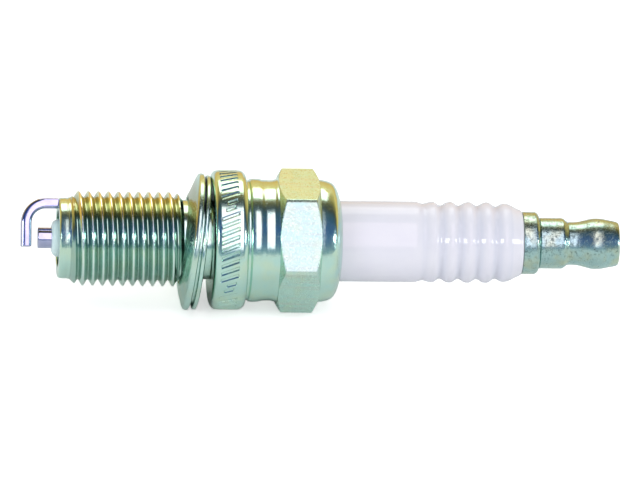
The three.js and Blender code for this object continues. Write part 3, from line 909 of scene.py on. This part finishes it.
def gasket_look():
    look = Look("gasket_steel", Metallic=1.0)
    straw = look.levels(look.noise(2.0, 4), 0.4, 0.7)
    base = look.mix(straw, (0.53, 0.78, 0.70), (0.57, 0.77, 0.64))
    stain = look.levels(look.noise(0.8, 5, (1, 1, 1), 0.7), 0.55, 0.8)
    base = look.mix(look.math("MULTIPLY", stain, 0.4), base, (0.30, 0.42, 0.40))
    # Painted shade: the upper half of the gasket's front cone is darkened to a dull olive.
    cone = look.math("MULTIPLY", look.levels(look.place(), -1.5, -2.3), look.levels(look.height(), 1, 6))
    base = look.mix(look.math("MULTIPLY", cone, 0.8), base, (0.34, 0.37, 0.24))
    # Painted shade: the groove between the gasket's two rim layers is made nearly black.
    fold = look.levels(look.radius(), 8.05, 7.75)
    fold = look.math("MULTIPLY", fold, look.band(look.place(), -1.2, -0.2, 0.1))
    base = look.mix(fold, base, (0.03, 0.04, 0.06))
    look.colour(base)
    grain = look.noise(0.18, 4)
    look.rough(look.levels(grain, 0.2, 0.8, 0.14, 0.3))
    look.bump((look.noise(0.07, 2, (1, 0.03, 0.03)), 0.003), (grain, 0.004))
    return look.material


def nickel_look(name):
    look = Look(name, Metallic=1.0)
    tint = look.levels(look.noise(1.2, 4), 0.4, 0.7)
    base = look.mix(tint, (0.46, 0.49, 0.68), (0.38, 0.42, 0.63))
    drawn = look.noise(0.05, 3, (0.05, 1, 1))
    base = look.mix(look.levels(drawn, 0.55, 0.75, 0, 0.4), base, (0.25, 0.26, 0.34))
    look.colour(base)
    look.rough(look.levels(look.noise(0.2, 3), 0.25, 0.75, 0.07, 0.13))
    look.bump((drawn, 0.0006))
    return look.material


def terminal_look():
    """Nickel-plated terminal steel, dulled and scratched by the cap, with patches of dark grime whose height
    mask is painted shade: weak on the bottom, full above.
    """
    look = Look("terminal_steel", Metallic=1.0)
    tint = look.levels(look.noise(1.6, 4), 0.4, 0.7)
    base = look.mix(tint, (0.38, 0.58, 0.56), (0.48, 0.60, 0.46))
    grime = look.levels(look.noise(0.4, 6, (1, 1, 1), 0.8), 0.48, 0.68)
    # Dark grime in patches, with painted shade: it is weak on the terminal's bottom and full on its middle
    # and top.
    grime_and_painted_shade = look.math("MULTIPLY", grime, look.levels(look.height(), -1.5, 0.5, 0.15, 1))
    base = look.mix(look.math("MULTIPLY", grime_and_painted_shade, 0.85), base, (0.08, 0.14, 0.15))
    look.colour(base)
    scratch = look.levels(look.noise(0.06, 4, (0.15, 1, 1), 0.7), 0.6, 0.75)
    turning = look.noise(0.08, 2, (1, 0.02, 0.02))
    rough = look.math("ADD", look.levels(grime, 0, 1, 0.22, 0.42), look.math("MULTIPLY", scratch, 0.1))
    look.rough(rough)
    look.bump((turning, 0.004), (grime, 0.005), (scratch, 0.004))
    return look.material


def ceramic_look():
    """White alumina with a faint lavender cast, glazed outside the shell and bare on the nose."""
    look = Look("glazed_alumina", Specular_IOR_Level=0.15, Coat_Weight=0.7, Coat_Roughness=0.02)
    place = look.place()
    nose = look.levels(place, 0.5, -0.5)
    cloud = look.levels(look.noise(4.0, 3), 0.35, 0.7)
    base = look.mix(cloud, (0.775, 0.78, 0.865), (0.80, 0.805, 0.88))
    speck = look.levels(look.noise(0.16, 2), 0.74, 0.8)
    base = look.mix(look.math("MULTIPLY", speck, 0.3), base, (0.60, 0.58, 0.60))
    # Painted shade: the glaze is a darker lavender in the ribs' grooves and the waist.
    dip = look.math("MULTIPLY", look.levels(look.radius(), 5.02, 4.62), look.band(place, 26, 37.6, 0.2))
    base = look.mix(look.math("MULTIPLY", dip, 0.6), base, (0.66, 0.69, 0.80))
    base = look.mix(nose, base, (0.68, 0.87, 0.89))
    soot = look.math("MULTIPLY", nose, look.levels(look.noise(0.7, 4), 0.5, 0.8))
    base = look.mix(look.math("MULTIPLY", soot, 0.25), base, (0.62, 0.60, 0.56))
    look.colour(base)
    ripple = look.noise(1.1, 2)
    look.rough(look.math("ADD", look.levels(nose, 0, 1, 0.34, 0.5), look.levels(ripple, 0.3, 0.7, 0, 0.06)))
    look.bump((ripple, 0.0025))
    return look.material


def plain_look(name, first, second, size, rough, metallic=0.0, depth=0.01):
    """A grainy look for the pieces inside the plug."""
    look = Look(name, Metallic=metallic)
    grain = look.noise(size, 4)
    look.colour(look.mix(look.levels(grain, 0.3, 0.7), first, second))
    look.rough(look.levels(grain, 0.2, 0.8, rough[0], rough[1]))
    look.bump((grain, depth))
    return look.material


def paint(piece, material):
    piece.data.materials.clear()
    piece.data.materials.append(material)


LOOKS = {
    "plated_steel": plated_look(),
    "gasket_steel": gasket_look(),
    "nickel_alloy": nickel_look("nickel_alloy"),
    "terminal_steel": terminal_look(),
    "glazed_alumina": ceramic_look(),
    "copper": plain_look("copper", (0.72, 0.34, 0.2), (0.8, 0.42, 0.27), 0.3, (0.25, 0.4), 1.0, 0.004),
    "glass_seal": plain_look("glass_seal", (0.1, 0.08, 0.06), (0.28, 0.17, 0.1), 0.15, (0.3, 0.6)),
    "resistor_mix": plain_look("resistor_mix", (0.02, 0.02, 0.02), (0.09, 0.085, 0.08), 0.12, (0.6, 0.9)),
    "talc": plain_look("talc", (0.68, 0.65, 0.58), (0.78, 0.76, 0.7), 0.2, (0.85, 0.97)),
    "packing_steel": plain_look("packing_steel", (0.4, 0.4, 0.41), (0.5, 0.5, 0.5), 0.2, (0.3, 0.45), 1.0),
}

SKINS = {
    "shell": (make_shell, "plug", "plated_steel"),
    "gasket": (make_gasket, "gasket", "gasket_steel"),
    "insulator": (make_insulator, "plug", "glazed_alumina"),
    "center_electrode_sheath": (make_centre_tip, "plug", "nickel_alloy"),
    "ground_electrode": (make_ground, "plug", "nickel_alloy"),
    "terminal_stud": (make_stud, "plug", "terminal_steel"),
    "terminal_nut": (make_nut, "terminal_nut", "terminal_steel"),
}
for node, (maker, body, slot) in SKINS.items():
    skin_piece = maker()
    paint(skin_piece, LOOKS[slot])
    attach(skin_piece, body)
    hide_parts(node)

INNER = {
    "center_electrode_core": "copper",
    "lower_glass_seal": "glass_seal",
    "upper_glass_seal": "glass_seal",
    "resistor": "resistor_mix",
    "talc_seal": "talc",
    "seat_packing": "packing_steel",
    "lower_packing_ring": "packing_steel",
    "upper_packing_ring": "packing_steel",
}
for node, slot in INNER.items():
    paint(nodes[node], LOOKS[slot])


# ---- Floor, light and camera ----
SPOT_RADIANCE = 13.0
CAMERA_DISTANCE = 1.27
FIELD_OF_VIEW = 3.6024


def direction(side, lift):
    """From the plug towards a point, by its angle to +X from straight ahead and its angle over the top.

    A lift of 0 is the front horizon, 90 straight up and 180 the back horizon."""
    s, l = math.radians(side), math.radians(lift)
    return Vector((math.sin(s), -math.cos(s) * math.cos(l), math.cos(s) * math.sin(l)))


def make_floor():
    """A pale floor that glows white to the camera only. Metal reflects it as the lamps light it."""
    mesh = bpy.data.meshes.new("floor")
    size = 3.0
    mesh.from_pydata(
        [(-size, -size, 0), (size, -size, 0), (size, size, 0), (-size, size, 0)], [], [[0, 1, 2, 3]]
    )
    floor = bpy.data.objects.new("floor", mesh)
    bpy.context.scene.collection.objects.link(floor)
    look = Look("floor_paper", Roughness=0.9, Specular_IOR_Level=0.0)
    grain = look.noise(3.0, 4)
    look.colour(look.mix(look.levels(grain, 0.3, 0.7), (0.86, 0.86, 0.86), (0.88, 0.88, 0.88)))
    path = look.node("ShaderNodeLightPath")
    glow = look.node("ShaderNodeEmission")
    glow.inputs["Color"].default_value = (1, 1, 1, 1)
    glow.inputs["Strength"].default_value = 0.55
    both = look.node("ShaderNodeAddShader")
    chosen = look.node("ShaderNodeMixShader")
    output = look.tree.nodes["Material Output"]
    look.link(look.shader.outputs[0], both.inputs[0])
    look.link(glow.outputs[0], both.inputs[1])
    look.link(path.outputs["Is Camera Ray"], chosen.inputs[0])
    look.link(look.shader.outputs[0], chosen.inputs[1])
    look.link(both.outputs[0], chosen.inputs[2])
    look.link(chosen.outputs[0], output.inputs["Surface"])
    mesh.materials.append(look.material)


def make_lamp(name, side, lift, distance, width, height, radiance, colour):
    """A soft panel of even radiance that faces the plug."""
    data = bpy.data.lights.new(name, "AREA")
    data.shape = "RECTANGLE"
    data.size = width
    data.size_y = height
    data.color = colour
    data.energy = radiance * math.pi * width * height
    lamp = bpy.data.objects.new(name, data)
    towards = direction(side, lift)
    lamp.location = Vector((0, 0, AXIS_Z)) + towards * distance
    x_axis = Vector((1, 0, 0))
    x_axis = (x_axis - towards * x_axis.dot(towards)).normalized()
    y_axis = towards.cross(x_axis)
    lamp.matrix_world = Matrix.Translation(lamp.location) @ Matrix(
        (x_axis, y_axis, towards)
    ).transposed().to_4x4()
    bpy.context.scene.collection.objects.link(lamp)


def make_world():
    """White to the camera and plain grey to diffuse rays.

    Glossy rays see a gradient instead: blue in front, nearly black overhead and gold at the back."""
    world = bpy.data.worlds.new("studio")
    bpy.context.scene.world = world
    world.use_nodes = True
    tree = world.node_tree
    tree.nodes.clear()

    def add(kind, **settings):
        made = tree.nodes.new(kind)
        for key, value in settings.items():
            setattr(made, key, value)
        return made

    coordinates = add("ShaderNodeTexCoord")
    parts = add("ShaderNodeSeparateXYZ")
    tree.links.new(coordinates.outputs["Generated"], parts.inputs[0])
    forward = add("ShaderNodeMath", operation="MULTIPLY")
    tree.links.new(parts.outputs["Y"], forward.inputs[0])
    forward.inputs[1].default_value = -1
    lift = add("ShaderNodeMath", operation="ARCTAN2")
    tree.links.new(parts.outputs["Z"], lift.inputs[0])
    tree.links.new(forward.outputs[0], lift.inputs[1])
    share = add("ShaderNodeMath", operation="DIVIDE")
    tree.links.new(lift.outputs[0], share.inputs[0])
    share.inputs[1].default_value = math.pi
    ramp = add("ShaderNodeValToRGB")
    tree.links.new(share.outputs[0], ramp.inputs[0])
    stops = [
        (0, (0.30, 0.42, 0.50)),
        (20, (0.12, 0.20, 0.36)),
        (45, (0.03, 0.10, 0.30)),
        (78, (0.05, 0.10, 0.16)),
        (96, (0.06, 0.06, 0.05)),
        (118, (0.42, 0.27, 0.08)),
        (152, (1.18, 0.74, 0.27)),
        (180, (0.9, 0.5, 0.15)),
    ]
    elements = ramp.color_ramp.elements
    while len(elements) < len(stops):
        elements.new(0.5)
    for element, (degrees, colour) in zip(elements, stops):
        element.position = degrees / 180
        element.color = (*colour, 1)
    plain = add("ShaderNodeRGB")
    plain.outputs[0].default_value = (0.50, 0.55, 0.55, 1)
    white = add("ShaderNodeRGB")
    white.outputs[0].default_value = (1, 1, 1, 1)
    path = add("ShaderNodeLightPath")

    def choose(factor, first, second):
        mix = add("ShaderNodeMix", data_type="RGBA")
        find = {s.identifier: s for s in mix.inputs}
        tree.links.new(factor, find["Factor_Float"])
        tree.links.new(first, find["A_Color"])
        tree.links.new(second, find["B_Color"])
        return next(s for s in mix.outputs if s.identifier == "Result_Color")

    seen = choose(path.outputs["Is Glossy Ray"], plain.outputs[0], ramp.outputs[0])
    seen = choose(path.outputs["Is Camera Ray"], seen, white.outputs[0])
    background = add("ShaderNodeBackground")
    tree.links.new(seen, background.inputs["Color"])
    output = add("ShaderNodeOutputWorld")
    tree.links.new(background.outputs[0], output.inputs["Surface"])


def make_camera():
    """Firing end at the left, seen from 27 degrees above the front and 5 degrees towards that end."""
    turn, rise, roll = (math.radians(a) for a in (5.014, 27, 3.1696))
    towards = Vector(
        (-math.sin(turn), -math.cos(turn) * math.cos(rise), math.cos(turn) * math.sin(rise))
    )
    right = (-towards).cross(Vector((0, 0, 1))).normalized()
    up = right.cross(-towards)
    right, up = (
        right * math.cos(roll) + up * math.sin(roll),
        up * math.cos(roll) - right * math.sin(roll),
    )
    target = Vector((0, 0, AXIS_Z)) + up * 0.0000973 - Vector((0.000008, 0, 0))
    data = bpy.data.cameras.new("camera")
    data.sensor_width = 36
    data.lens = 18 / math.tan(math.radians(FIELD_OF_VIEW / 2))
    data.clip_start = 0.05
    data.clip_end = 20
    camera = bpy.data.objects.new("camera", data)
    camera.matrix_world = Matrix.Translation(target + towards * CAMERA_DISTANCE) @ Matrix(
        (right, up, towards)
    ).transposed().to_4x4()
    bpy.context.scene.collection.objects.link(camera)
    bpy.context.scene.camera = camera


make_floor()
make_lamp("back_panel", 3, 127, 0.6, 0.4, 0.32, 2.1, (1.0, 0.99, 0.95))
make_lamp("front_panel", 5, 47, 0.9, 0.26, 1.26, 2.3, (1.0, 0.8, 0.86))
make_lamp("left_spot", -55, 33, 0.9, 0.3, 0.16, SPOT_RADIANCE, (1.0, 1.0, 1.0))
make_lamp("right_spot", 60, 33, 0.9, 0.3, 0.16, SPOT_RADIANCE, (1.0, 1.0, 1.0))
make_world()
make_camera()
bpy.context.scene.view_settings.view_transform = "Standard"
